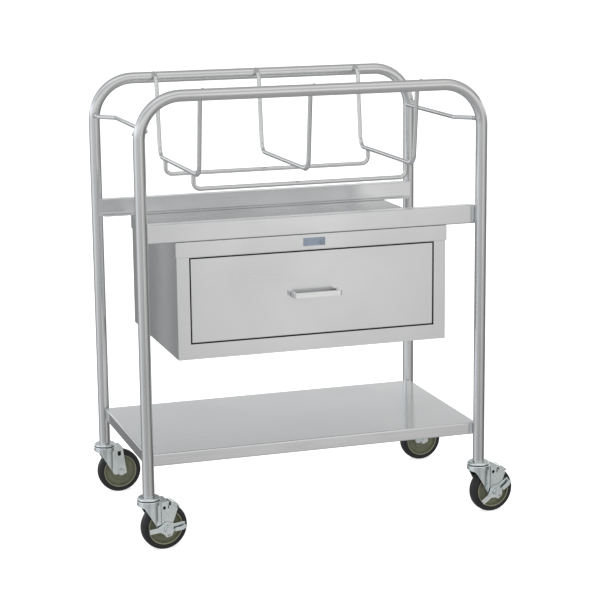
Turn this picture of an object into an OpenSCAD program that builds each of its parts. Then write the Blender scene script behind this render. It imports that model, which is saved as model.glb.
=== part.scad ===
// Stainless-steel hospital trolley: two bent-tube frames joined by a wire cradle for a bassinet tub,
// a one-drawer cabinet and a lower shelf, on four swivel casters, the front two with side brakes.
// Millimetres. The origin is the centre of the lower shelf's top face. +X runs along the trolley,
// -Y is the drawer side and +Z is up.

/* [Frame] */
// Distance between the left and right leg axes
leg_spacing = 762; // [720:1:800]
// Clear distance between the front and the rear frame
inner_depth = 409; // [390:1:430]
// Outside diameter of the frame tube
tube_d = 25.4; // [25.4:0.1:26]
// Wall thickness of the frame tube
tube_wall = 1.65; // [1.5:0.05:1.7]
// Height of the top rail's axis above the lower shelf
rail_z = 762.5; // [740:0.5:790]
// Centre-line radius of the frame's two bends
frame_bend_r = 90; // [70:1:100]

/* [Sheet metal] */
// Thickness of the bars and the lower shelf
plate_t = 1.5; // [1.2:0.1:2]
// Thickness of the cabinet and drawer sheet
sheet_t = 1.2; // [1:0.1:1.4]
// Height of the flange folded down round the lower shelf
shelf_flange_h = 27; // [20:1:40]
// Width of the hem folded inward under the lower shelf
shelf_hem_w = 15; // [8:1:25]
// Height of the two cross bars
bar_h = 40; // [32:1:50]
// Width of the cross bars' inward flanges
bar_flange_w = 25; // [15:1:30]
// Length of the slanted cut at each end of a flange
bar_miter = 12; // [5:1:20]
// Outside radius of the folds in the bars and the lower shelf
plate_fold_r = 3; // [2.5:0.1:3.5]
// Outside radius of the folds in the cabinet and drawer sheet
sheet_fold_r = 2; // [1.8:0.1:2.5]

/* [Cradle] */
// Diameter of the cradle rod
rod_d = 9.5; // [8:0.1:10]
// Distance from the middle hoop to each outer hoop
hoop_spacing = 242; // [200:1:260]
// Height of the hoops' bottom run above the lower shelf
hoop_z = 587; // [570:1:600]
// Half the distance between a hoop's sides at the bottom
hoop_foot_y = 168.5; // [160:0.5:172]
// Half the distance between a hoop's sides at the rails
hoop_head_y = 188.5; // [184:0.5:190]
// Bend radius at a hoop's bottom corners
hoop_bend_r = 25; // [15:1:40]
// Height of the two runners above the lower shelf
runner_z = 552.5; // [545:0.5:556]
// Half the distance between the two runners
runner_y = 121; // [100:1:135]
// Height of the end rods above the lower shelf
end_rod_z = 682.5; // [665:0.5:690]
// How far the long run of an end rod is set in from the legs
end_rod_inset = 33.5; // [20:0.5:45]
// Half the length of an end rod's long run
end_rod_half = 141; // [120:1:145]

/* [Cabinet] */
// Width of the cabinet's cover
cabinet_w = 612; // [600:1:640]
// Height of the cabinet's top face above the lower shelf
cabinet_top_z = 454; // [440:1:470]
// Height of the cabinet
cabinet_h = 254; // [240:1:270]
// Height of the cover's downturned lip
cover_lip_h = 33; // [25:1:36]
// Width of the cabinet's front stiles
stile_w = 27.5; // [25:0.5:32]
// Height of the cabinet's front bottom rail
sill_h = 33; // [25:1:38]

/* [Drawer] */
// Gap round the drawer front
drawer_gap = 2.5; // [1.5:0.1:4]
// Thickness of the hollow drawer front
drawer_front_t = 18; // [14:1:20]
// Height of the drawer's sides
drawer_side_h = 155; // [120:1:160]
// Thickness of a telescopic slide
slide_t = 12.7; // [12.7:0.1:13]
// Length of a telescopic slide
slide_len = 380; // [340:1:380]
// Height of the slides' axis above the lower shelf
slide_z = 290; // [275:1:320]
// Length of the drawer pull
pull_w = 108; // [80:1:140]
// Height of the drawer pull's grip
pull_h = 10.5; // [8:0.5:14]
// How far the drawer pull stands out
pull_reach = 27; // [22:1:35]

/* [Casters] */
// Diameter of the wheel
wheel_d = 101.6; // [96:0.1:102]
// Width of the tyre
tyre_w = 27; // [22:1:28]
// Height of a caster from the floor to the leg
caster_h = 120; // [120:0.5:124]
// Horizontal distance from the swivel axis to the axle
caster_trail = 32; // [28:0.5:33]
// Width between the outer faces of the fork's legs
fork_w = 39; // [39:0.5:40]
// Distance from the floor to the top of the lower shelf
shelf_height = 207; // [195:1:225]
// Resting headings of the four casters, in degrees from +X
caster_headings = [6, 6, 2, 2];
// Resting tilt of the two brake levers, in degrees
brake_tilts = [4, 34];

/* [Hidden] */
$fn = 64;
frame_y = inner_depth / 2 + tube_d / 2;
leg_x = leg_spacing / 2;
leg_end_z = caster_h - shelf_height;
tube_bore_d = tube_d - 2 * tube_wall;
seam_lap = 0.2;
seam_step = 0.15;

// Where a hoop's end lies on the rail, from the rail's axis
hoop_end_in = 4.2;
hoop_end_up = 9.5;
runner_bend_r = 15;
end_rod_jog = 31.5;

cabinet_bottom_z = cabinet_top_z - cabinet_h;
// The cabinet's walls stand in behind the cover's rounded folds
shell_w = cabinet_w - 2 * sheet_fold_r;
shell_d = inner_depth - 2 * sheet_fold_r;
shell_h = cabinet_h - sheet_t;
face_y = -shell_d / 2;
opening_w = shell_w - 2 * stile_w;
opening_z = cabinet_bottom_z + sill_h;
lip_reveal = 1.5;
opening_h = cabinet_h - sill_h - cover_lip_h - lip_reveal;
opening_return = 12;

drawer_w = opening_w - 2 * drawer_gap;
drawer_h = opening_h - 2 * drawer_gap;
drawer_front_z = opening_z + drawer_gap;
drawer_back_y = 185;
box_y = face_y + drawer_front_t;
slide_side_gap = 2.3;
box_w = opening_w - 2 * (slide_t + slide_side_gap);
box_z = opening_z + 7;
slide_y = box_y + 1;
slide_h = 45;
slide_step_h = 7;
outer_lip = 10;
inner_lip = 6;
middle_web_x = 8.5;
bumper_x = 200;
bumper_d = 12;
bumper_gap = 0.2;
slide_x = box_w / 2;
pull_z = drawer_front_z + drawer_h / 2;
pull_leg_t = 8;
pull_grip_t = 5;
screw_d = 4;
screw_head_d = 8;
screw_head_h = 2.4;
screw_bite = 11;
plate_w = 49;
plate_h = 17;
plate_thick = 0.8;

wheel_r = wheel_d / 2;
core_r = 39;
hub_len = 33;
bush_d = 14;
axle_d = 9.5;
running_gap = 0.05;
fork_t = 2.5;
crown_z = 108;
crown_r = 25.6;
crown_rear_x = 37.2;
skirt_r = 23.5;
race_z = 111;
ball_d = 6;
ball_count = 12;
ball_ring_r = 14;
kingpin_d = 12;
kingpin_head_r = 9;
kingpin_head_h = 3;
cup_t = 2.5;
stem_d = 12.7;
stem_len = 60;
bracket_t = 2;
lever_t = 3;
lever_hub_r = 14.5;
lever_reach = 40.3;
nut_h = 5;
nut_d = 16;

CORNERS = ["front_left", "front_right", "rear_left", "rear_right"];
BRAKED = ["front_left", "front_right"];
FIXED_NODES = [
    "front_frame_tube", "rear_frame_tube", "front_bar", "rear_bar", "lower_shelf",
    "left_hoop", "middle_hoop", "right_hoop", "front_runner", "rear_runner",
    "left_end_rod", "right_end_rod",
    "cabinet_shell", "cabinet_face_frame", "cabinet_cover", "blank_plate",
    "slide_spacers", "drawer_bumpers", "stem_sleeves",
    "left_slide_outer", "right_slide_outer"
];
DRAWER_NODES = [
    "left_slide_middle", "right_slide_middle", "left_slide_inner", "right_slide_inner",
    "drawer_box", "drawer_front", "drawer_pull", "pull_screws"
];
CASTER_PARTS = ["stem", "balls", "fork", "axle", "wheel", "tyre"];
BRAKE_PARTS = ["brake_bracket", "brake_lever"];
NODES = concat(
    FIXED_NODES,
    DRAWER_NODES,
    [for (corner = CORNERS, part = CASTER_PARTS) str(corner, "_", part)],
    [for (corner = BRAKED, part = BRAKE_PARTS) str(corner, "_", part)]
);
node = "all";

// ---- Shared shapes ----

function direction(a, b) = atan2(b[1] - a[1], b[0] - a[0]);
function turn(a, b, c) = (direction(b, c) - direction(a, b) + 540) % 360 - 180;
function setback(points, radii, i) =
    i == 0 || i == len(points) - 1
        ? 0
        : radii[i - 1] * tan(abs(turn(points[i - 1], points[i], points[i + 1])) / 2);

// Straight run of a rod in the XY plane, from a to b, with its ends cut back to its bends
module rod_run(a, b, trim_a, trim_b, d) {
    heading = direction(a, b);
    translate([a[0] + trim_a * cos(heading), a[1] + trim_a * sin(heading), 0])
        rotate([0, 90, heading])
            rotate([0, 0, 90])
                cylinder(d = d, h = norm(b - a) - trim_a - trim_b);
}

// Bend of a rod at corner b, on the way from a to c
module rod_bend(a, b, c, r, d) {
    angle = turn(a, b, c);
    side = sign(angle);
    heading = direction(a, b);
    back = r * tan(abs(angle) / 2);
    start = [b[0] - back * cos(heading), b[1] - back * sin(heading)];
    centre = [start[0] - side * r * sin(heading), start[1] + side * r * cos(heading)];
    first = side > 0 ? heading - 90 : heading + angle + 90;
    translate([centre[0], centre[1], 0])
        rotate([0, 0, first])
            rotate_extrude(angle = abs(angle))
                translate([r, 0])
                    rotate([0, 0, side > 0 ? 180 : 0])
                        circle(d = d);
}

// Rod or tube bent in the XY plane through the given points, with one radius per inner corner.
// Bends that aren't right angles are a hair fatter than the runs, which lap into them.
module bent_rod(points, radii, d, square_bends = true) {
    last = len(points) - 1;
    lap = square_bends ? 0 : seam_lap;
    cuts = [for (i = [0 : last]) max(0, setback(points, radii, i) - lap)];
    for (i = [0 : last - 1])
        rod_run(points[i], points[i + 1], cuts[i], cuts[i + 1], d);
    for (i = [1 : last - 1])
        rod_bend(points[i - 1], points[i], points[i + 1], radii[i - 1], square_bends ? d : d + seam_step);
}

// Box centred in X and Y, standing on z
module block(size, z = 0) {
    translate([-size[0] / 2, -size[1] / 2, z])
        cube(size);
}

// Rectangle from the origin to [w, h] with rounded corners
module rounded_outline(w, h, r) {
    translate([r, 0])
        square([w - 2 * r, h]);
    translate([0, r])
        square([w, h - 2 * r]);
    for (x = [r, w - r], y = [r, h - r])
        translate([x, y])
            circle(r = r);
}

// Box centred in X and Y, standing on z, whose edges along X and Y are rounded
module pillow(size, r, z) {
    intersection() {
        translate([-size[0] / 2, -size[1] / 2, z])
            rotate([90, 0, 90])
                linear_extrude(size[0])
                    rounded_outline(size[1], size[2], r);
        translate([-size[0] / 2, size[1] / 2, z])
            rotate([90, 0, 0])
                linear_extrude(size[1])
                    rounded_outline(size[0], size[2], r);
    }
}

// Folded tray lying upside down on z = 0: open below, with rounded folds round its top
module folded_tray(size, t, r) {
    difference() {
        pillow([size[0], size[1], size[2] + 2 * r], r, -2 * r);
        pillow([size[0] - 2 * t, size[1] - 2 * t, size[2] + 2 * r], r - t, -2 * r - t);
        block([size[0] + 1, size[1] + 1, 3 * r], -3 * r);
    }
}

// Disc profile, for rotate_extrude, whose top outer edge is rounded
module rounded_rim(r, z0, z1, edge) {
    translate([0, z0])
        square([r, z1 - z0 - edge]);
    translate([0, z0])
        square([r - edge, z1 - z0]);
    translate([r - edge, z1 - edge])
        circle(r = edge);
}

// Cylinder along Y, centred on y = 0
module cross_pin(d, length) {
    rotate([90, 0, 0])
        cylinder(d = d, h = length, center = true);
}

// ---- Frame ----

// Outline of one frame tube, with its legs made longer by extra
function frame_points(extra) = [
    [-leg_x, leg_end_z - extra], [-leg_x, rail_z], [leg_x, rail_z], [leg_x, leg_end_z - extra]
];

module frame_solid(extra = 0, d = tube_d) {
    rotate([90, 0, 0])
        bent_rod(frame_points(extra), [frame_bend_r, frame_bend_r], d);
}

// Both frames as solid rods, used to trim what is welded to them
module both_frames_solid() {
    for (side = [-1, 1])
        translate([0, side * frame_y, 0])
            frame_solid();
}

module frame_tube(side) {
    color("silver")
        translate([0, side * frame_y, 0])
            difference() {
                frame_solid();
                frame_solid(1, tube_bore_d);
            }
}

// Channel with its flat face outward and mitred flanges, welded between the legs above the cabinet
module cross_bar(side) {
    inner_h = bar_h - 2 * plate_t;
    color("gainsboro")
        mirror([0, side < 0 ? 0 : 1, 0])
            translate([0, -inner_depth / 2, cabinet_top_z])
                intersection() {
                    translate([-leg_x, 0, 0])
                        rotate([90, 0, 90])
                            linear_extrude(leg_spacing)
                                difference() {
                                    rounded_outline(2 * bar_flange_w, bar_h, plate_fold_r);
                                    translate([plate_t, plate_t])
                                        rounded_outline(2 * bar_flange_w, inner_h, plate_fold_r - plate_t);
                                }
                    linear_extrude(bar_h)
                        polygon([
                            [-leg_x, 0], [leg_x, 0], [leg_x, plate_fold_r],
                            [leg_x - bar_miter, bar_flange_w], [-leg_x + bar_miter, bar_flange_w],
                            [-leg_x, plate_fold_r]
                        ]);
                }
}

module lower_shelf() {
    inner_h = shelf_flange_h - 2 * plate_t;
    hole_h = shelf_flange_h - plate_t - plate_fold_r;
    color("gainsboro")
        difference() {
            pillow([leg_spacing, inner_depth, shelf_flange_h], plate_fold_r, -shelf_flange_h);
            pillow(
                [leg_spacing - 2 * plate_t, inner_depth - 2 * plate_t, inner_h],
                plate_fold_r - plate_t,
                plate_t - shelf_flange_h
            );
            block(
                [leg_spacing - 2 * shelf_hem_w, inner_depth - 2 * shelf_hem_w, hole_h],
                -shelf_flange_h - 1
            );
        }
}

// ---- Cradle ----

// Half outline of a hoop in Y and Z: up the side and out over the rail
function hoop_side(sign) = [
    [sign * (frame_y - hoop_end_in), rail_z + hoop_end_up],
    [sign * hoop_head_y, rail_z - 0.5],
    [sign * hoop_foot_y, hoop_z]
];

module hoop(x) {
    left = hoop_side(-1);
    right = hoop_side(1);
    points = [left[0], left[1], left[2], right[2], right[1], right[0]];
    radii = [rod_d, hoop_bend_r, hoop_bend_r, rod_d];
    color("silver")
        difference() {
            translate([x, 0, 0])
                rotate([90, 0, 90])
                    bent_rod(points, radii, rod_d, false);
            both_frames_solid();
        }
}

// Lengthwise rod under the hoops, turned up at both ends and welded to the outer hoops
module runner(side) {
    top_z = hoop_z - 0.3 * rod_d;
    points = [
        [-hoop_spacing, top_z], [-hoop_spacing, runner_z], [hoop_spacing, runner_z], [hoop_spacing, top_z]
    ];
    color("silver")
        difference() {
            translate([0, side * runner_y, 0])
                rotate([90, 0, 0])
                    bent_rod(points, [runner_bend_r, runner_bend_r], rod_d);
            for (end = [-1, 1])
                translate([end * hoop_spacing, 0, hoop_z])
                    cross_pin(rod_d, 2 * hoop_foot_y);
        }
}

// Rod between the legs of one end, with its long run set inward
module end_rod(side) {
    run_x = side * (leg_x - end_rod_inset);
    out_x = side * leg_x;
    jog_y = end_rod_half + end_rod_jog;
    points = [
        [out_x, -frame_y], [out_x, -jog_y], [run_x, -end_rod_half],
        [run_x, end_rod_half], [out_x, jog_y], [out_x, frame_y]
    ];
    color("silver")
        difference() {
            translate([0, 0, end_rod_z])
                bent_rod(points, [rod_d, rod_d, rod_d, rod_d], rod_d, false);
            both_frames_solid();
        }
}

// ---- Cabinet ----

// Wrap of two sides, back and bottom, open to the front and the top
module cabinet_shell() {
    color("lightgray")
        difference() {
            block([shell_w, shell_d, shell_h], cabinet_bottom_z);
            block([shell_w - 2 * sheet_t, shell_d - 2 * sheet_t, shell_h], cabinet_bottom_z + sheet_t);
            translate([-cabinet_w / 2, face_y - 1, cabinet_bottom_z - 1])
                cube([cabinet_w, sheet_t + 1, shell_h + 2]);
        }
}

module cabinet_face_frame() {
    depth = sheet_t + opening_return;
    color("gainsboro")
        difference() {
            union() {
                translate([-shell_w / 2, face_y, cabinet_bottom_z])
                    cube([shell_w, sheet_t, shell_h]);
                translate([-opening_w / 2 - sheet_t, face_y, opening_z - sheet_t])
                    cube([opening_w + 2 * sheet_t, depth, opening_h + 2 * sheet_t]);
            }
            translate([-opening_w / 2, face_y - 1, opening_z])
                cube([opening_w, depth + 2, opening_h]);
        }
}

module cabinet_cover() {
    color("gainsboro")
        translate([0, 0, cabinet_top_z - cover_lip_h])
            folded_tray([cabinet_w, inner_depth, cover_lip_h], sheet_t, sheet_fold_r);
}

module blank_plate() {
    color("steelblue")
        translate([0, -(inner_depth + plate_thick) / 2, cabinet_top_z - cover_lip_h / 2])
            cube([plate_w, plate_thick, plate_h], center = true);
}

// Box-section rails that carry the slides clear of the stiles
module slide_spacers() {
    inner_x = slide_x + slide_t;
    width = shell_w / 2 - sheet_t - inner_x;
    color("darkgray")
        for (side = [-1, 1])
            translate([side * (inner_x + width / 2), slide_y + slide_len / 2, slide_z])
                difference() {
                    cube([width, slide_len, slide_h], center = true);
                    cube([width - 2 * sheet_t, slide_len + 2, slide_h - 2 * sheet_t], center = true);
                }
}

module drawer_bumpers() {
    color("dimgray")
        for (side = [-1, 1])
            translate([side * bumper_x, drawer_back_y + bumper_gap, slide_z])
                rotate([-90, 0, 0])
                    cylinder(d = bumper_d, h = shell_d / 2 - sheet_t - drawer_back_y - bumper_gap);
}

// ---- Drawer and its slides ----

// C-section lying along Y: the web is at x and the lips reach toward the drawer or away from it
module slide_channel(web_x, lip_reach, height, y0) {
    lip_x = lip_reach < 0 ? web_x + lip_reach : web_x;
    translate([web_x, y0, slide_z - height / 2])
        cube([sheet_t, slide_len, height]);
    for (edge_z = [-height / 2, height / 2 - sheet_t])
        translate([lip_x, y0, slide_z + edge_z])
            cube([abs(lip_reach), slide_len, sheet_t]);
}

module slide_member(side, web_x, lip_reach, height) {
    color("lightsteelblue")
        mirror([side < 0 ? 1 : 0, 0, 0])
            slide_channel(web_x, lip_reach, height, slide_y);
}

module slide_outer(side) {
    slide_member(side, slide_x + slide_t - sheet_t, -outer_lip, slide_h);
}

module slide_middle(side) {
    slide_member(side, slide_x + middle_web_x, -inner_lip, slide_h - slide_step_h);
}

module slide_inner(side) {
    slide_member(side, slide_x, inner_lip, slide_h - 2 * slide_step_h);
}

module screw_holes(y0, y1) {
    for (side = [-1, 1])
        translate([side * (pull_w - pull_leg_t) / 2, y0, pull_z])
            rotate([-90, 0, 0])
                cylinder(d = screw_d + 0.5, h = y1 - y0);
}

module drawer_box() {
    depth = drawer_back_y - box_y;
    color("lightgray")
        difference() {
            translate([-box_w / 2, box_y, box_z])
                cube([box_w, depth, drawer_side_h]);
            translate([-box_w / 2 + sheet_t, box_y + sheet_t, box_z + sheet_t])
                cube([box_w - 2 * sheet_t, depth - 2 * sheet_t, drawer_side_h]);
            screw_holes(box_y - 1, box_y + sheet_t + 1);
        }
}

// Hollow front panel, open at the back, closed by the drawer box
module drawer_front() {
    color("gainsboro")
        difference() {
            translate([0, face_y + drawer_front_t, drawer_front_z + drawer_h / 2])
                rotate([90, 0, 0])
                    folded_tray([drawer_w, drawer_h, drawer_front_t], sheet_t, sheet_fold_r);
            screw_holes(face_y - 1, face_y + sheet_t + 1);
        }
}

module drawer_pull() {
    corner_r = 4;
    color("gainsboro")
        difference() {
            translate([0, 0, pull_z - pull_h / 2])
                linear_extrude(pull_h)
                    difference() {
                        union() {
                            translate([-pull_w / 2 + corner_r, face_y - pull_reach])
                                square([pull_w - 2 * corner_r, pull_reach]);
                            translate([-pull_w / 2, face_y - pull_reach + corner_r])
                                square([pull_w, pull_reach - corner_r]);
                            for (side = [-1, 1])
                                translate([side * (pull_w / 2 - corner_r), face_y - pull_reach + corner_r])
                                    circle(r = corner_r);
                        }
                        translate([-pull_w / 2 + pull_leg_t, face_y - pull_reach + pull_grip_t])
                            square([pull_w - 2 * pull_leg_t, pull_reach]);
                    }
            for (side = [-1, 1])
                translate([side * (pull_w - pull_leg_t) / 2, face_y - screw_bite - 1, pull_z])
                    rotate([-90, 0, 0])
                        cylinder(d = screw_d + 2 * running_gap, h = screw_bite + 2);
        }
}

module pull_screws() {
    color("silver")
        for (side = [-1, 1])
            translate([side * (pull_w - pull_leg_t) / 2, box_y + sheet_t, pull_z])
                rotate([90, 0, 0]) {
                    cylinder(d = screw_d, h = drawer_front_t + sheet_t + screw_bite);
                    translate([0, 0, -screw_head_h])
                        cylinder(d = screw_head_d, h = screw_head_h);
                }
}

// ---- Casters, each modelled on its swivel axis with the floor at z = 0 and trailing toward +X ----

function corner_x(i) = (i % 2 == 0 ? -1 : 1) * leg_x;
function corner_y(i) = (i < 2 ? -1 : 1) * frame_y;

module at_corner(i, heading) {
    translate([corner_x(i), corner_y(i), -shelf_height])
        rotate([0, 0, heading])
            children();
}

module at_axle() {
    translate([caster_trail, 0, wheel_r])
        children();
}

// Mounting stem with the upper raceway cup and the riveted kingpin
module caster_stem() {
    cup_z = caster_h - 5;
    cup_r = 24.8;
    head_z = crown_z - running_gap - kingpin_head_h;
    color("lightsteelblue") {
        rotate_extrude()
            difference() {
                rounded_rim(cup_r, cup_z, caster_h, 4);
                translate([0, race_z])
                    square([cup_r - cup_t - 1, caster_h - cup_t - race_z]);
                translate([0, race_z])
                    square([cup_r + 1, cup_z - race_z]);
            }
        translate([0, 0, caster_h - cup_t])
            cylinder(d = stem_d, h = stem_len);
        translate([0, 0, head_z])
            cylinder(d = kingpin_d, h = caster_h - head_z - 1);
        translate([0, 0, head_z])
            cylinder(r = kingpin_head_r, h = kingpin_head_h);
    }
}

// Sleeves that hold the stems in the legs
module stem_sleeves() {
    color("dimgray")
        for (i = [0 : 3])
            at_corner(i, 0)
                translate([0, 0, caster_h + 0.5])
                    difference() {
                        cylinder(d = tube_bore_d - 2 * running_gap, h = stem_len - 8);
                        translate([0, 0, -1])
                            cylinder(d = stem_d + 2 * running_gap, h = stem_len);
                    }
}

module swivel_balls() {
    color("gray")
        for (i = [0 : ball_count - 1])
            rotate([0, 0, i * 360 / ball_count])
                translate([ball_ring_r, 0, race_z + ball_d / 2 + 0.25])
                    sphere(d = ball_d);
}

// Side view of the fork's skirt and legs
module fork_side_outline() {
    foot_z = wheel_r - 5.8;
    foot_r = 4;
    foot_rear_x = caster_trail + 13.7;
    foot_front_x = caster_trail - 14.8;
    polygon([
        [-skirt_r - 1, crown_z + fork_t],
        [crown_rear_x, crown_z + fork_t],
        [foot_rear_x, foot_z + foot_r],
        [foot_rear_x - foot_r, foot_z],
        [foot_front_x, foot_z],
        [foot_front_x - 3.4, foot_z + 3],
        [-16, 99],
        [-skirt_r - 1, 101]
    ]);
    translate([foot_rear_x - foot_r, foot_z + foot_r])
        circle(r = foot_r);
}

// Top view of the fork: round under the crown, narrowing to two flat legs
module fork_plan(inset) {
    half = fork_w / 2 - inset;
    shoulder = skirt_r - inset;
    circle(r = shoulder);
    polygon([
        [0, -shoulder], [6, -shoulder + 0.8], [13.5, -half], [60, -half],
        [60, half], [13.5, half], [6, shoulder - 0.8], [0, shoulder]
    ]);
}

// Crown: a round pan whose rim stands up round the ball race
module fork_crown() {
    rim_z = crown_z - 5;
    rim_h = 10;
    rotate_extrude()
        difference() {
            rounded_rim(crown_r, rim_z, rim_z + rim_h, 2.4);
            translate([0, rim_z - 1])
                square([crown_r - fork_t, crown_z - rim_z + 1]);
            translate([0, race_z])
                square([crown_r - fork_t, rim_h]);
        }
    translate([0, -fork_w / 2, crown_z])
        cube([crown_rear_x, fork_w, fork_t]);
}

module caster_fork() {
    slot_r = 4;
    slot_z = 93.7;
    slot_h = 7.3;
    color("lightsteelblue")
        difference() {
            union() {
                fork_crown();
                intersection() {
                    translate([0, 0, wheel_r - 10])
                        linear_extrude(crown_z)
                            difference() {
                                fork_plan(0);
                                fork_plan(fork_t);
                            }
                    translate([0, crown_r, 0])
                        rotate([90, 0, 0])
                            linear_extrude(2 * crown_r)
                                fork_side_outline();
                }
            }
            translate([0, 0, crown_z - 1])
                cylinder(d = kingpin_d + 2 * running_gap, h = 20);
            at_axle()
                cross_pin(axle_d + 2 * running_gap, fork_w + 2);
            translate([caster_trail - 3, 0, slot_z]) {
                cross_pin(2 * slot_r, fork_w + 2);
                translate([-slot_r, -fork_w / 2 - 1, 0])
                    cube([2 * slot_r, fork_w + 2, slot_h]);
            }
        }
}

// Axle bolt and nut with the bush that the wheel turns on; stack is what lies under the nut
module caster_axle(stack) {
    half = fork_w / 2;
    color("silver")
        at_axle()
            rotate([90, 0, 0]) {
                translate([0, 0, -half - nut_h])
                    cylinder(d = nut_d, h = nut_h, $fn = 6);
                translate([0, 0, -half])
                    cylinder(d = axle_d, h = 2 * half + stack + nut_h + 2);
                translate([0, 0, half + stack])
                    difference() {
                        cylinder(d = nut_d, h = nut_h, $fn = 6);
                        translate([0, 0, -1])
                            cylinder(d = axle_d + 2 * running_gap, h = nut_h + 2);
                    }
                difference() {
                    cylinder(d = bush_d, h = fork_w - 2 * fork_t - 0.1, center = true);
                    cylinder(d = axle_d + 2 * running_gap, h = fork_w, center = true);
                }
            }
}

// Wheel core: rim, dished web, stepped boss and hub, the same on both sides
module caster_wheel() {
    bore_r = bush_d / 2 + running_gap;
    face = tyre_w / 2 - 0.5;
    half = [
        [bore_r, hub_len / 2], [11, hub_len / 2], [11.5, face], [16, face - 0.5],
        [21, face - 1.5], [22.5, face - 4], [34, face - 5.5], [36, face - 0.8], [36.5, face],
        [core_r - 0.5, face], [core_r, face - 0.5]
    ];
    other_half = [for (i = [len(half) - 1 : -1 : 0]) [half[i][0], -half[i][1]]];
    color("darkolivegreen")
        at_axle()
            rotate([90, 0, 0])
                rotate_extrude()
                    polygon(concat(half, other_half));
}

module caster_tyre() {
    shoulder_r = 9;
    color("darkslategray")
        at_axle()
            rotate([90, 0, 0])
                rotate_extrude()
                    difference() {
                        union() {
                            rounded_rim(wheel_r, 0, tyre_w / 2, shoulder_r);
                            mirror([0, 1])
                                rounded_rim(wheel_r, 0, tyre_w / 2, shoulder_r);
                        }
                        translate([-1, -tyre_w])
                            square([core_r + 1, 2 * tyre_w]);
                    }
}

// Extrudes a side view from y0 by depth along +Y
module side_plate(y0, depth) {
    translate([0, y0 + depth, 0])
        rotate([90, 0, 0])
            linear_extrude(depth)
                children();
}

// Two-lobed plate on the brake side of the fork, with the arm that reaches over the tyre
module brake_bracket() {
    plate_y = -fork_w / 2 - bracket_t;
    hole_r = 3.6;
    arm_end_y = 12;
    color("lightsteelblue") {
        difference() {
            side_plate(plate_y, bracket_t)
                difference() {
                    polygon([
                        [20.3, 41], [20.3, 109], [35.2, 109], [35.2, 94], [37.6, 94], [37.6, 101.5],
                        [46.7, 98], [57.8, 92.5], [52.9, 79.3], [46.3, 62.2], [44, 41]
                    ]);
                    translate([26.8, 96.5])
                        circle(r = hole_r);
                }
            at_axle()
                cross_pin(axle_d + 2 * running_gap, fork_w + 10);
        }
        side_plate(-fork_w / 2, bracket_t)
            polygon([[42.5, 86], [42.5, 104.8], [49.8, 104.2], [58, 98.5], [54, 84]]);
        side_plate(-fork_w / 2, fork_w / 2 + arm_end_y)
            polygon([
                [42.5, 104.8], [42.5, 107.3], [50.5, 106.7], [59.8, 99.8],
                [62.3, 94.4], [60.2, 93.9], [58, 98.5], [49.8, 104.2]
            ]);
    }
}

// Rocker lever on the axle bolt: a hub, two wings, a trough-shaped pedal and a slotted tab
module brake_lever(tilt) {
    trough_x = 15;
    trough_w = 7;
    color("lightsteelblue")
        at_axle()
            rotate([0, -tilt, 0])
                translate([0, -fork_w / 2 - bracket_t - 2 * running_gap, 0])
                    difference() {
                        union() {
                            side_plate(-lever_t, lever_t) {
                                circle(r = lever_hub_r);
                                polygon([
                                    [-lever_reach, -6], [-lever_reach, 5], [-21, 5], [-10, 9.5],
                                    [10, 10.5], [16, 8.5], [lever_reach, 8.5], [lever_reach, -4],
                                    [32, -7.5], [15, -7.5], [8, -18], [-4, -19.5], [-8.5, -12], [-17, -6]
                                ]);
                            }
                            side_plate(-lever_t - trough_w, trough_w)
                                polygon([
                                    [trough_x, -7.5], [trough_x, -5.5], [32, -5.5], [lever_reach, -2],
                                    [lever_reach, -4], [32, -7.5]
                                ]);
                            side_plate(-lever_t - trough_w, 2)
                                polygon([
                                    [trough_x, -7.5], [trough_x, 0], [27, 0.5], [lever_reach, 3],
                                    [lever_reach, -4], [32, -7.5]
                                ]);
                        }
                        cross_pin(axle_d + 2 * running_gap, 60);
                        translate([-1, -lever_t - 1, -16])
                            cube([7, lever_t + 2, 1.6]);
                    }
}

// ---- Nodes ----

function shown(name) = node == "all" || node == name;

if (shown("front_frame_tube")) frame_tube(-1);
if (shown("rear_frame_tube")) frame_tube(1);
if (shown("front_bar")) cross_bar(-1);
if (shown("rear_bar")) cross_bar(1);
if (shown("lower_shelf")) lower_shelf();
if (shown("left_hoop")) hoop(-hoop_spacing);
if (shown("middle_hoop")) hoop(0);
if (shown("right_hoop")) hoop(hoop_spacing);
if (shown("front_runner")) runner(-1);
if (shown("rear_runner")) runner(1);
if (shown("left_end_rod")) end_rod(-1);
if (shown("right_end_rod")) end_rod(1);
if (shown("cabinet_shell")) cabinet_shell();
if (shown("cabinet_face_frame")) cabinet_face_frame();
if (shown("cabinet_cover")) cabinet_cover();
if (shown("blank_plate")) blank_plate();
if (shown("slide_spacers")) slide_spacers();
if (shown("drawer_bumpers")) drawer_bumpers();
if (shown("stem_sleeves")) stem_sleeves();
if (shown("left_slide_outer")) slide_outer(-1);
if (shown("right_slide_outer")) slide_outer(1);
if (shown("left_slide_middle")) slide_middle(-1);
if (shown("right_slide_middle")) slide_middle(1);
if (shown("left_slide_inner")) slide_inner(-1);
if (shown("right_slide_inner")) slide_inner(1);
if (shown("drawer_box")) drawer_box();
if (shown("drawer_front")) drawer_front();
if (shown("drawer_pull")) drawer_pull();
if (shown("pull_screws")) pull_screws();

for (i = [0 : 3]) {
    corner = CORNERS[i];
    heading = caster_headings[i];
    brake_stack = i < 2 ? bracket_t + lever_t + 4 * running_gap : 0;
    if (shown(str(corner, "_stem"))) at_corner(i, heading) caster_stem();
    if (shown(str(corner, "_balls"))) at_corner(i, heading) swivel_balls();
    if (shown(str(corner, "_fork"))) at_corner(i, heading) caster_fork();
    if (shown(str(corner, "_axle"))) at_corner(i, heading) caster_axle(brake_stack);
    if (shown(str(corner, "_wheel"))) at_corner(i, heading) caster_wheel();
    if (shown(str(corner, "_tyre"))) at_corner(i, heading) caster_tyre();
}

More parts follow.
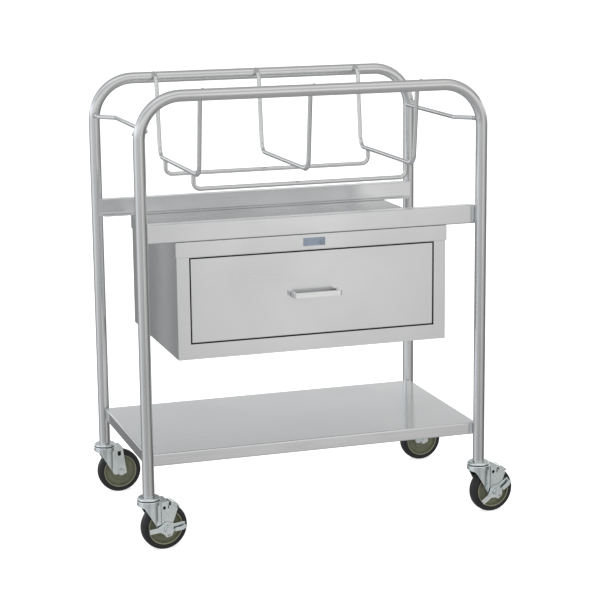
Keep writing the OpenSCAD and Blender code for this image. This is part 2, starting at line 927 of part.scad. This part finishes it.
for (i = [0 : 1]) {
    corner = BRAKED[i];
    heading = caster_headings[i];
    if (shown(str(corner, "_brake_bracket"))) at_corner(i, heading) brake_bracket();
    if (shown(str(corner, "_brake_lever"))) at_corner(i, heading) brake_lever(brake_tilts[i]);
}
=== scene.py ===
import math
import random

import bmesh
import bpy
from mathutils import Euler, Matrix, Vector


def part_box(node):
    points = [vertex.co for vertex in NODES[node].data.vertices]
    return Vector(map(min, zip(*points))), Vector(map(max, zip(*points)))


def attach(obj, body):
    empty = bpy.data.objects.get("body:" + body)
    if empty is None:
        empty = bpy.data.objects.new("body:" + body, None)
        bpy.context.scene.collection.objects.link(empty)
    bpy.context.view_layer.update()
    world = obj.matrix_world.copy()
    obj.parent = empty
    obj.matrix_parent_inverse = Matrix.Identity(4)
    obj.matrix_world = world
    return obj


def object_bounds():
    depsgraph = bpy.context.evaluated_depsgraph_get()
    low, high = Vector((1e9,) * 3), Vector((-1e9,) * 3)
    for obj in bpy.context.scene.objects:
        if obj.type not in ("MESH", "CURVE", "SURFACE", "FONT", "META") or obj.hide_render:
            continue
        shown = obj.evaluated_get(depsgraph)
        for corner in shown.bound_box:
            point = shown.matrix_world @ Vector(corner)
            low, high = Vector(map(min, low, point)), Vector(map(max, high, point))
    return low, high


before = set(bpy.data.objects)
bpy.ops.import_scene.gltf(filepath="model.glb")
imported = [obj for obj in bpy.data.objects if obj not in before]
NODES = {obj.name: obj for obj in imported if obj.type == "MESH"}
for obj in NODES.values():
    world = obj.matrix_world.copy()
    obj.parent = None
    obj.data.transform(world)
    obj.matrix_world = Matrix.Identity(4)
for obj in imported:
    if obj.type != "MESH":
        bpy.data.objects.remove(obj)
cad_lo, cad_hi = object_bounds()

MM = 0.001
CORNERS = ("front_left", "front_right", "rear_left", "rear_right")
random.seed(7)


# ---- Node graphs ----

class Graph:
    """Short names for making and linking shader nodes in one tree."""

    def __init__(self, tree):
        self.tree = tree

    def add(self, kind, inputs=(), **settings):
        node = self.tree.nodes.new(kind)
        for key, value in settings.items():
            setattr(node, key, value)
        for key, value in dict(inputs).items():
            if isinstance(value, bpy.types.NodeSocket):
                self.tree.links.new(value, node.inputs[key])
            else:
                node.inputs[key].default_value = value
        return node

    def math(self, operation, a, b=0.0):
        return self.add("ShaderNodeMath", {0: a, 1: b}, operation=operation).outputs[0]

    def vector(self, operation, inputs, output=0):
        return self.add("ShaderNodeVectorMath", inputs, operation=operation).outputs[output]

    def dot(self, vector, fixed):
        return self.vector("DOT_PRODUCT", {0: vector, 1: fixed}, "Value")

    def step(self, value, low, high, to_low=0.0, to_high=1.0):
        """Smooth step of value from low..high to to_low..to_high."""
        inputs = {"Value": value, "From Min": low, "From Max": high, "To Min": to_low, "To Max": to_high}
        return self.add("ShaderNodeMapRange", inputs, interpolation_type="SMOOTHSTEP").outputs[0]

    def scaled(self, vector, scale):
        return self.add("ShaderNodeMapping", {"Vector": vector, "Scale": scale}).outputs[0]

    def noise(self, vector, scale, detail=3.0):
        inputs = {"Vector": vector, "Scale": scale, "Detail": detail}
        return self.add("ShaderNodeTexNoise", inputs).outputs[0]

    def curve(self, value, stops):
        """Brightness read off a curve through (value, brightness) stops."""
        low, high = stops[0][0], stops[-1][0]
        inputs = {"Value": value, "From Min": low, "From Max": high}
        share = self.add("ShaderNodeMapRange", inputs).outputs[0]
        ramp = self.add("ShaderNodeValToRGB", {0: share})
        ramp.color_ramp.interpolation = "EASE"
        elements = ramp.color_ramp.elements
        while len(elements) < len(stops):
            elements.new(0.5)
        for element, (at, level) in zip(elements, stops):
            element.position = (at - low) / (high - low)
            element.color = rgba(level, level, level)
        return ramp.outputs[0]

    def painted_gap_shade(self, colour, reach, darkest):
        """Painted shade: darkens colour in gaps and inner corners narrower than reach."""
        openness = self.add("ShaderNodeAmbientOcclusion", {"Distance": reach}, samples=8).outputs["AO"]
        level = self.step(openness, 0.25, 0.85, darkest, 1.0)
        return self.vector("SCALE", {0: colour, "Scale": level})

    def mix(self, factor, a, b):
        node = self.add("ShaderNodeMix", data_type="RGBA")
        for index, value in ((0, factor), (6, a), (7, b)):
            if isinstance(value, bpy.types.NodeSocket):
                self.tree.links.new(value, node.inputs[index])
            else:
                node.inputs[index].default_value = value
        return node.outputs[2]


def rgba(r, g, b):
    return (r, g, b, 1.0)


def shade(colour, factor):
    return rgba(*(min(1.0, part * factor) for part in colour[:3]))


# ---- Materials ----

# Upright, and tilted a little so that it is never parallel to a level sheet's normal
NEARLY_UP = (0.0, 0.02, 1.0)
# Distances from a wheel's centre between which the core's colour gives way to the painted highlight on its
# lip
LIP_FROM, LIP_TO = 38.4 * MM, 38.8 * MM


def start_material(name):
    material = bpy.data.materials.new(name)
    material.use_nodes = True
    graph = Graph(material.node_tree)
    shader = material.node_tree.nodes["Principled BSDF"]
    place = graph.add("ShaderNodeTexCoord").outputs["Object"]
    return material, graph, shader, place


def connect(graph, shader, colour, roughness, height, bump):
    graph.tree.links.new(colour, shader.inputs["Base Color"])
    graph.tree.links.new(roughness, shader.inputs["Roughness"])
    bump_node = graph.add("ShaderNodeBump", {"Height": height, "Strength": bump, "Distance": 0.2 * MM})
    graph.tree.links.new(bump_node.outputs[0], shader.inputs["Normal"])


def steel(name, colour, roughness, grain, bump=0.03, flat=False, bend_z=None):
    """Satin stainless steel. grain is the polishing pattern's scale per axis, small along the polish lines.
    Flat sheets are polished lengthwise, which spreads their reflections up and down. On a bent tube the
    lines run up the legs and, above bend_z, along the rail."""
    material, graph, shader, place = start_material(name)
    lines = graph.noise(graph.scaled(place, grain), 1.0, 4.0)
    if bend_z is not None:
        height = graph.add("ShaderNodeSeparateXYZ", {0: place}).outputs[2]
        rail_lines = graph.noise(graph.scaled(place, grain[::-1]), 1.0, 4.0)
        lines = graph.mix(graph.step(height, bend_z - 20 * MM, bend_z + 60 * MM), lines, rail_lines)
    clouds = graph.noise(place, 5.0, 3.0)
    scratch_scale = tuple(0.35 * part for part in grain)
    scratches = graph.step(graph.noise(graph.scaled(place, scratch_scale), 1.0, 5.0), 0.64, 0.70)
    tone = graph.math("MULTIPLY_ADD", lines, 0.6)
    tone.node.inputs[2].default_value = 0.2
    toned = graph.mix(tone, shade(colour, 0.965), shade(colour, 1.035))
    smudged = graph.mix(graph.step(clouds, 0.35, 0.75, 0.0, 0.35), toned, shade(colour, 0.90))
    rough = graph.math("ADD", graph.step(lines, 0.3, 0.7, roughness - 0.02, roughness + 0.03),
                       graph.step(clouds, 0.35, 0.7, -0.02, 0.03))
    rough = graph.math("ADD", rough, graph.math("MULTIPLY", scratches, 0.015 if flat else 0.05))
    shader.inputs["Metallic"].default_value = 1.0
    if flat:
        normal = graph.add("ShaderNodeNewGeometry").outputs["Normal"]
        along = graph.vector("CROSS_PRODUCT", {0: normal, 1: NEARLY_UP})
        graph.tree.links.new(along, shader.inputs["Tangent"])
        shader.inputs["Anisotropic"].default_value = 0.8
        shader.inputs["Anisotropic Rotation"].default_value = 0.25
    # Painted shade in the steel's gaps and inner corners, down to 0.35 of its colour.
    connect(graph, shader, graph.painted_gap_shade(smudged, 4 * MM, 0.35), rough, lines, bump)
    return material


def zinc(name, colour, roughness):
    """Bright zinc plate, faintly mottled, with scuffs and painted shade in its gaps and corners."""
    material, graph, shader, place = start_material(name)
    mottle = graph.noise(place, 30.0, 3.0)
    tiny = graph.noise(place, 900.0, 2.0)
    scuffs = graph.step(graph.noise(graph.scaled(place, (240.0, 60.0, 900.0)), 1.0, 4.0), 0.62, 0.70)
    toned = graph.mix(graph.step(mottle, 0.3, 0.7), shade(colour, 0.96), shade(colour, 1.03))
    rough = graph.math("ADD", graph.step(mottle, 0.3, 0.7, roughness - 0.03, roughness + 0.03),
                       graph.math("MULTIPLY", scuffs, 0.10))
    shader.inputs["Metallic"].default_value = 1.0
    # Painted shade in the zinc's gaps and inner corners, down to 0.15 of its colour.
    connect(graph, shader, graph.painted_gap_shade(toned, 5 * MM, 0.15), rough, tiny, 0.02)
    return material


def dull(name, colour, roughness, coat=0.0, speck=1.25, lip_highlight=None):
    """Rubber, plastic or enamel: fine grain, soft patches, a little dust or wear, and painted shade in gaps.
    A wheel's lip, the part farthest from its centre, may be given a lighter colour there that paints a
    highlight."""
    material, graph, shader, place = start_material(name)
    patches = graph.noise(place, 45.0, 4.0)
    fine = graph.noise(place, 1400.0, 2.0)
    dust = graph.step(graph.noise(place, 160.0, 5.0), 0.55, 0.75)
    toned = graph.mix(graph.step(patches, 0.3, 0.7), shade(colour, 0.85), shade(colour, 1.15))
    if lip_highlight:
        # Painted highlight: a lighter colour on the wheel's lip, where its edge catches light.
        from_centre = graph.add("ShaderNodeAttribute", attribute_name="from_centre").outputs["Fac"]
        toned = graph.mix(graph.step(from_centre, LIP_FROM, LIP_TO), toned, lip_highlight)
    dusty = graph.mix(graph.math("MULTIPLY", dust, 0.5), toned, shade(colour, speck))
    rough = graph.math("ADD", graph.step(patches, 0.3, 0.7, roughness - 0.05, roughness + 0.07),
                       graph.math("MULTIPLY", dust, 0.08))
    shader.inputs["Coat Weight"].default_value = coat
    # Painted shade in gaps and inner corners, down to 0.4 of the colour.
    connect(graph, shader, graph.painted_gap_shade(dusty, 6 * MM, 0.4), rough, fine, 0.15)
    return material


# ---- Sizes read from the frame ----

tube_lo, tube_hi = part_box("front_frame_tube")
TUBE_R = (tube_hi.y - tube_lo.y) / 2
LEG_X = tube_hi.x - TUBE_R
FRAME_Y = -(tube_lo.y + tube_hi.y) / 2
RAIL_Z = tube_hi.z - TUBE_R
BEND_Z = RAIL_Z - 90 * MM

satin_tube = steel("satin_tube", rgba(0.75, 0.757, 0.765), 0.17, (900.0, 900.0, 12.0), 0.015, bend_z=BEND_Z)
satin_rod = steel("satin_rod", rgba(0.77, 0.777, 0.785), 0.20, (500.0, 500.0, 500.0), 0.02)
satin_sheet = steel("satin_sheet", rgba(0.80, 0.81, 0.82), 0.22, (10.0, 420.0, 420.0), 0.004, True)
satin_shelf = steel("satin_shelf", rgba(0.81, 0.82, 0.83), 0.15, (10.0, 420.0, 420.0), 0.003, True)
pull_steel = steel("pull_steel", rgba(0.84, 0.845, 0.855), 0.12, (60.0, 500.0, 500.0), 0.01)
weld_metal = zinc("weld_metal", rgba(0.62, 0.61, 0.59), 0.30)
zinc_plate = zinc("zinc_plate", rgba(0.83, 0.89, 0.90), 0.13)
slide_zinc = zinc("slide_zinc", rgba(0.62, 0.64, 0.66), 0.28)
blue_plate = dull("blue_plate", rgba(0.30, 0.36, 0.46), 0.30, 0.4)
stop_rubber = dull("stop_rubber", rgba(0.025, 0.025, 0.025), 0.6)
tyre_rubber = dull("tyre_rubber", rgba(0.012, 0.012, 0.014), 0.45, 0.0, 1.6)
# The core's lip gets a lighter, painted highlight colour.
wheel_core = dull("wheel_core", rgba(0.187, 0.195, 0.125), 0.38, lip_highlight=rgba(0.36, 0.35, 0.25))


def node_material(name):
    if name in ("front_frame_tube", "rear_frame_tube"):
        return satin_tube
    if "hoop" in name or "runner" in name or "end_rod" in name:
        return satin_rod
    if name == "lower_shelf":
        return satin_shelf
    if name == "blank_plate":
        return blue_plate
    if name == "drawer_pull":
        return pull_steel
    if name in ("drawer_bumpers", "stem_sleeves"):
        return stop_rubber
    if name.endswith("_wheel"):
        return wheel_core
    if name.endswith("_tyre"):
        return tyre_rubber
    if name.startswith(CORNERS):
        return zinc_plate
    if "slide" in name or name == "pull_screws":
        return slide_zinc
    return satin_sheet


# Edge radius of each kind of node, in millimetres
BEVELS = {
    "front_bar": 0.5, "rear_bar": 0.5, "lower_shelf": 0.5, "cabinet_shell": 0.4, "cabinet_face_frame": 0.4,
    "cabinet_cover": 0.5, "blank_plate": 0.3, "drawer_front": 0.5, "drawer_box": 0.4, "drawer_pull": 0.4,
}
CASTER_BEVELS = {"fork": 0.4, "stem": 0.3, "axle": 0.4, "brake_bracket": 0.4, "brake_lever": 0.6}


def bevel_width(name):
    for corner in CORNERS:
        if name.startswith(corner):
            return CASTER_BEVELS.get(name[len(corner) + 1:], 0.0)
    return BEVELS.get(name, 0.0)


def finish_node(name, obj):
    """Gives a CAD node its material, joined normals and soft edges. Its own vertices stay as they are."""
    mesh = obj.data
    mesh.materials.clear()
    mesh.materials.append(node_material(name))
    if "custom_normal" in mesh.attributes:
        mesh.attributes.remove(mesh.attributes["custom_normal"])
    mesh.polygons.foreach_set("use_smooth", [True] * len(mesh.polygons))
    weld = obj.modifiers.new("weld", "WELD")
    weld.merge_threshold = 0.002 * MM
    width = bevel_width(name)
    if width:
        bevel = obj.modifiers.new("soft_edges", "BEVEL")
        bevel.width = width * MM
        bevel.segments = 3
        bevel.limit_method = "ANGLE"
        bevel.angle_limit = math.radians(40)
        bevel.use_clamp_overlap = True
        obj.modifiers.new("flat_faces", "WEIGHTED_NORMAL").keep_sharp = True
    else:
        split = obj.modifiers.new("sharp_edges", "EDGE_SPLIT")
        split.split_angle = math.radians(35)


def mark_lip(name, obj):
    """Stores every vertex's distance from the wheel's centre, which the core's material reads to paint a
    highlight on the lip.
    """
    lo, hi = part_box(name)
    centre = (lo + hi) / 2
    reach = obj.data.attributes.new("from_centre", "FLOAT", "POINT")
    reach.data.foreach_set("value", [(obj.matrix_world @ v.co - centre).length for v in obj.data.vertices])


for node_name, node_object in NODES.items():
    finish_node(node_name, node_object)
    if node_name.endswith("_wheel"):
        mark_lip(node_name, node_object)


# ---- Weld beads ----

def new_piece(name, mesh_builder, material, body):
    mesh = bpy.data.meshes.new(name)
    mesh_builder.to_mesh(mesh)
    mesh_builder.free()
    mesh.polygons.foreach_set("use_smooth", [True] * len(mesh.polygons))
    mesh.materials.append(material)
    obj = bpy.data.objects.new(name, mesh)
    bpy.context.scene.collection.objects.link(obj)
    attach(obj, body)


def add_bead(builder, path, radius, closed=False, ripple=1.7 * MM, sides=10):
    """Adds a rippled, slightly uneven bead along the path's points to the bmesh."""
    dense = []
    count = len(path) if closed else len(path) - 1
    for i in range(count):
        a, b = path[i], path[(i + 1) % len(path)]
        steps = max(1, round((b - a).length / (0.4 * MM)))
        dense += [a.lerp(b, k / steps) for k in range(steps)]
    if not closed:
        dense.append(path[-1])
    rings = []
    travelled = 0.0
    last = len(dense) - 1
    for i, point in enumerate(dense):
        before = dense[i - 1] if closed or i > 0 else point
        after = dense[(i + 1) % len(dense)] if closed or i < last else point
        along = (after - before).normalized()
        side = along.orthogonal().normalized()
        if rings:
            side = (rings[-1][1] - along * rings[-1][1].dot(along)).normalized()
        other = along.cross(side)
        travelled += (point - before).length
        phase = (travelled / ripple) % 1.0
        swell = 0.86 + 0.22 * math.sqrt(1.0 - (2 * phase - 1) ** 2 * 0.98)
        size = radius * swell * random.uniform(0.97, 1.03)
        if not closed and (i == 0 or i == last):
            size *= 0.45
        points = []
        for k in range(sides):
            angle = 2 * math.pi * k / sides
            outward = side * math.cos(angle) + other * math.sin(angle)
            points.append(builder.verts.new(point + outward * size))
        rings.append((points, side))
    pairs = [(rings[i][0], rings[i + 1][0]) for i in range(last)]
    if closed:
        pairs.append((rings[-1][0], rings[0][0]))
    for low, high in pairs:
        for k in range(sides):
            builder.faces.new((low[k], low[(k + 1) % sides], high[(k + 1) % sides], high[k]))
    if not closed:
        builder.faces.new(reversed(rings[0][0]))
        builder.faces.new(rings[-1][0])


# Centre line of a hoop's bent end in the rail's cross-section, up to its end in the rail's wall
HOOK_START = Vector((188.5 * MM, RAIL_Z - 0.5 * MM))
HOOK_END = Vector((FRAME_Y - 4.2 * MM, RAIL_Z + 9.5 * MM))
HOOP_BEAD_R, END_ROD_BEAD_R, RUNNER_BEAD_R, LEG_BEAD_R = 1.5 * MM, 1.6 * MM, 1.2 * MM, 1.7 * MM


def rail_bead_path(x, side, rod_r):
    """Line where a hoop's bent end meets the rail, from one flank round its underside to the other."""
    centre = Vector((FRAME_Y, RAIL_Z))
    length = (HOOK_END - HOOK_START).length
    along = (HOOK_END - HOOK_START) / length
    up = Vector((-along.y, along.x))
    path = []
    for degrees in range(70, 291, 10):
        angle = math.radians(degrees)
        edge = HOOK_START + up * rod_r * math.cos(angle) - centre
        half = edge.dot(along)
        rest = half * half - edge.length_squared + TUBE_R ** 2
        reach = -half - math.sqrt(rest) if rest > 0 else length
        point = HOOK_START + up * rod_r * math.cos(angle) + along * min(reach, length)
        path.append(Vector((x + rod_r * math.sin(angle), side * point.x, point.y)))
    return path


def saddle_path(centre, axis, across, up, rod_r, into_r):
    """Closed line where a rod along axis meets a round one of radius into_r that lies along up."""
    path = []
    for k in range(24):
        angle = 2 * math.pi * k / 24
        aside = rod_r * math.cos(angle)
        out = math.sqrt(max(0.0, into_r ** 2 - aside ** 2))
        path.append(centre + across * aside + up * rod_r * math.sin(angle) + axis * out)
    return path


X, Y, Z = Vector((1, 0, 0)), Vector((0, 1, 0)), Vector((0, 0, 1))


def weld_hoops(rod_r):
    builder = bmesh.new()
    for name in ("left_hoop", "middle_hoop", "right_hoop"):
        lo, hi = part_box(name)
        for side in (-1, 1):
            add_bead(builder, rail_bead_path((lo.x + hi.x) / 2, side, rod_r), HOOP_BEAD_R)
    new_piece("hoop_welds", builder, weld_metal, "trolley_frame")


def weld_end_rods(rod_r):
    builder = bmesh.new()
    lo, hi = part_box("left_end_rod")
    for sx in (-1, 1):
        for sy in (-1, 1):
            centre = Vector((sx * LEG_X, sy * FRAME_Y, (lo.z + hi.z) / 2))
            add_bead(builder, saddle_path(centre, Y * -sy, X, Z, rod_r, TUBE_R), END_ROD_BEAD_R, closed=True)
    new_piece("end_rod_welds", builder, weld_metal, "trolley_frame")


def weld_runners(rod_r):
    builder = bmesh.new()
    hoop_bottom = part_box("middle_hoop")[0].z + rod_r
    for name in ("front_runner", "rear_runner"):
        lo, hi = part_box(name)
        for x in (lo.x + rod_r, hi.x - rod_r):
            centre = Vector((x, (lo.y + hi.y) / 2, hoop_bottom))
            add_bead(builder, saddle_path(centre, -Z, X, Y, rod_r, rod_r), RUNNER_BEAD_R, closed=True)
    new_piece("runner_welds", builder, weld_metal, "trolley_frame")


# What meets the legs: node, millimetres its beads stay clear of its lower edge, and its sides with beads
LEG_WELDS = (("front_bar", 2, (-1,)), ("rear_bar", 2, (1,)), ("lower_shelf", 3, (-1, 1)))


def weld_legs():
    """Beads up the ends of the cross bars and the shelf, where they meet the legs."""
    builder = bmesh.new()
    for name, low_cut, sides in LEG_WELDS:
        lo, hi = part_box(name)
        low, high = lo.z + low_cut * MM, hi.z - 2 * MM
        for sx in (-1, 1):
            for sy in sides:
                x, y = sx * (LEG_X - 5 * MM), sy * (FRAME_Y - TUBE_R + 0.3 * MM)
                add_bead(builder, [Vector((x, y, low)), Vector((x, y, high))], LEG_BEAD_R)
    new_piece("leg_welds", builder, weld_metal, "trolley_frame")


hoop_lo, hoop_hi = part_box("middle_hoop")
HOOP_ROD_R = (hoop_hi.x - hoop_lo.x) / 2
weld_hoops(HOOP_ROD_R)
weld_end_rods(HOOP_ROD_R)
weld_runners(HOOP_ROD_R)
weld_legs()


# ---- Studio ----

# Brightness by elevation in degrees
FRONT_LEVELS = (
    (-90, 0.35), (-60, 0.42), (-30, 0.44), (-20, 0.40), (-15, 0.44), (-11, 0.60), (-2, 0.65), (5, 0.88),
    (15, 0.88), (24, 0.60), (34, 0.58), (50, 0.84), (65, 1.02), (80, 0.80), (90, 0.50),
)
BACK_LEVELS = (
    (-90, 0.35), (-60, 0.38), (-25, 0.30), (-10, 0.36), (-2, 0.55), (4, 1.00), (10, 1.25), (13, 0.98),
    (15, 0.58), (17, 0.34), (25, 0.50), (50, 0.44), (90, 0.50),
)
# Soft boxes and dark flags: azimuth and its inner and outer half widths, elevation and its inner and outer
# half heights, and gain
SOFT_BOXES = (
    (18, (0, 7), -5, (7, 10), 0.40),
    (-98, (12, 40), 0, (30, 60), 0.28),
    (80, (15, 40), -8, (15, 45), -0.22),
    (-14, (8, 26), -16, (6, 12), -0.10),
    (0, (60, 100), -22, (3, 5), 0.20),
    (-163, (2, 9), -13, (5, 12), -0.16),
)


def studio_group():
    """Light that metal reflects, by azimuth from -Y towards +X and by elevation."""
    tree = bpy.data.node_groups.new("studio", "ShaderNodeTree")
    tree.interface.new_socket("Direction", in_out="INPUT", socket_type="NodeSocketVector")
    tree.interface.new_socket("Color", in_out="OUTPUT", socket_type="NodeSocketColor")
    graph = Graph(tree)
    source = graph.add("NodeGroupInput").outputs[0]
    direction = graph.vector("NORMALIZE", {0: source})
    height = graph.add("ShaderNodeSeparateXYZ", {0: direction}).outputs[2]
    elevation = graph.math("DEGREES", graph.math("ARCSINE", height))
    front = graph.curve(elevation, FRONT_LEVELS)
    back = graph.curve(elevation, BACK_LEVELS)
    behind = graph.dot(direction, (0.31, 0.95, 0.0))
    level = graph.add("ShaderNodeMix", {0: graph.step(behind, -0.45, 0.45), 2: front, 3: back}).outputs[0]
    for azimuth, azimuth_half, rise, rise_half, gain in SOFT_BOXES:
        angle = math.radians(azimuth)
        forward = graph.dot(direction, (math.sin(angle), -math.cos(angle), 0.0))
        aside = graph.dot(direction, (math.cos(angle), math.sin(angle), 0.0))
        turned = graph.math("ABSOLUTE", graph.math("DEGREES", graph.math("ARCTAN2", aside, forward)))
        raised = graph.math("ABSOLUTE", graph.math("SUBTRACT", elevation, rise))
        wide = graph.step(turned, azimuth_half[0], azimuth_half[1], 1.0, 0.0)
        tall = graph.step(raised, rise_half[0], rise_half[1], 1.0, 0.0)
        level = graph.math("ADD", level, graph.math("MULTIPLY", graph.math("MULTIPLY", wide, tall), gain))
    level = graph.math("MAXIMUM", level, 0.05)
    warm = graph.step(graph.dot(direction, (0.9, -0.4, 0.0)), -0.8, 0.8)
    tint = graph.mix(warm, rgba(0.965, 0.985, 1.0), rgba(1.0, 0.995, 0.975))
    graph.add("NodeGroupOutput", {0: graph.vector("SCALE", {0: tint, "Scale": level})})
    return tree


def make_world(group):
    world = bpy.data.worlds.new("studio_world")
    bpy.context.scene.world = world
    world.use_nodes = True
    graph = Graph(world.node_tree)
    place = graph.add("ShaderNodeTexCoord").outputs["Generated"]
    studio = graph.add("ShaderNodeGroup", node_tree=group)
    graph.tree.links.new(place, studio.inputs[0])
    camera_ray = graph.add("ShaderNodeLightPath").outputs["Is Camera Ray"]
    seen = graph.mix(camera_ray, studio.outputs[0], rgba(1.0, 1.0, 1.0))
    background = world.node_tree.nodes["Background"]
    graph.tree.links.new(seen, background.inputs["Color"])


def make_floor(group, level):
    """Plain pale floor: white with soft contact shadows to the camera, the studio's light to the metal."""
    material = bpy.data.materials.new("pale_floor")
    material.use_nodes = True
    graph = Graph(material.node_tree)
    output = material.node_tree.nodes["Material Output"]
    grain = graph.noise(graph.add("ShaderNodeTexCoord").outputs["Object"], 30.0, 2.0)
    pale = graph.mix(grain, rgba(0.86, 0.86, 0.86), rgba(0.90, 0.90, 0.90))
    diffuse = graph.add("ShaderNodeBsdfDiffuse", {"Color": pale}).outputs[0]
    glow = graph.add("ShaderNodeEmission", {"Color": rgba(1, 1, 1), "Strength": 0.72}).outputs[0]
    lit = graph.add("ShaderNodeAddShader", {0: diffuse, 1: glow}).outputs[0]
    incoming = graph.add("ShaderNodeNewGeometry").outputs["Incoming"]
    away = graph.vector("SCALE", {0: incoming, "Scale": -1.0})
    studio = graph.add("ShaderNodeGroup", node_tree=group)
    graph.tree.links.new(away, studio.inputs[0])
    reflected = graph.add("ShaderNodeEmission", {"Color": studio.outputs[0]}).outputs[0]
    camera_ray = graph.add("ShaderNodeLightPath").outputs["Is Camera Ray"]
    mixed = graph.add("ShaderNodeMixShader", {0: camera_ray, 1: reflected, 2: lit}).outputs[0]
    graph.tree.links.new(mixed, output.inputs["Surface"])
    builder = bmesh.new()
    reach = 30.0
    corners = ((-reach, -reach), (reach, -reach), (reach, reach), (-reach, reach))
    builder.faces.new([builder.verts.new((x, y, level)) for x, y in corners])
    mesh = bpy.data.meshes.new("pale_floor")
    builder.to_mesh(mesh)
    builder.free()
    mesh.materials.append(material)
    floor = bpy.data.objects.new("pale_floor", mesh)
    bpy.context.scene.collection.objects.link(floor)


def area_light(name, place, aim, size, power, colour=(1.0, 1.0, 1.0)):
    light = bpy.data.lights.new(name, "AREA")
    light.shape = "RECTANGLE"
    light.size, light.size_y = size
    light.energy = power
    light.color = colour
    obj = bpy.data.objects.new(name, light)
    obj.location = place
    obj.rotation_mode = "QUATERNION"
    obj.rotation_quaternion = (Vector(aim) - Vector(place)).to_track_quat("-Z", "Y")
    obj.visible_camera = False
    obj.visible_glossy = False
    bpy.context.scene.collection.objects.link(obj)


# The camera's place in metres, its lens and sensor in millimetres, and its pitch, heading and roll in degrees
CAMERA_PLACE = (-1.2562, -3.9565, 1.1464)
CAMERA_LENS, CAMERA_SENSOR = 112.63, 36.0
CAMERA_PITCH, CAMERA_HEADING, CAMERA_ROLL = 78.06, -18.05, -0.59


def make_camera():
    data = bpy.data.cameras.new("camera")
    data.lens = CAMERA_LENS
    data.sensor_width = CAMERA_SENSOR
    data.clip_start, data.clip_end = 0.05, 200.0
    camera = bpy.data.objects.new("camera", data)
    turn = Euler((math.radians(CAMERA_PITCH), 0.0, math.radians(CAMERA_HEADING))).to_matrix()
    turn = turn @ Matrix.Rotation(math.radians(CAMERA_ROLL), 3, "Z")
    camera.matrix_world = Matrix.Translation(CAMERA_PLACE) @ turn.to_4x4()
    bpy.context.scene.collection.objects.link(camera)
    bpy.context.scene.camera = camera


studio = studio_group()
make_world(studio)
make_floor(studio, cad_lo.z)
area_light("key", (-2.2, -2.6, 3.0), (0, 0, 0.3), (2.4, 2.4), 22)
area_light("top", (0.4, 0.6, 3.4), (0, 0, 0.3), (2.2, 2.2), 16, (1.0, 0.99, 0.97))
make_camera()
bpy.context.scene.view_settings.view_transform = "Standard"
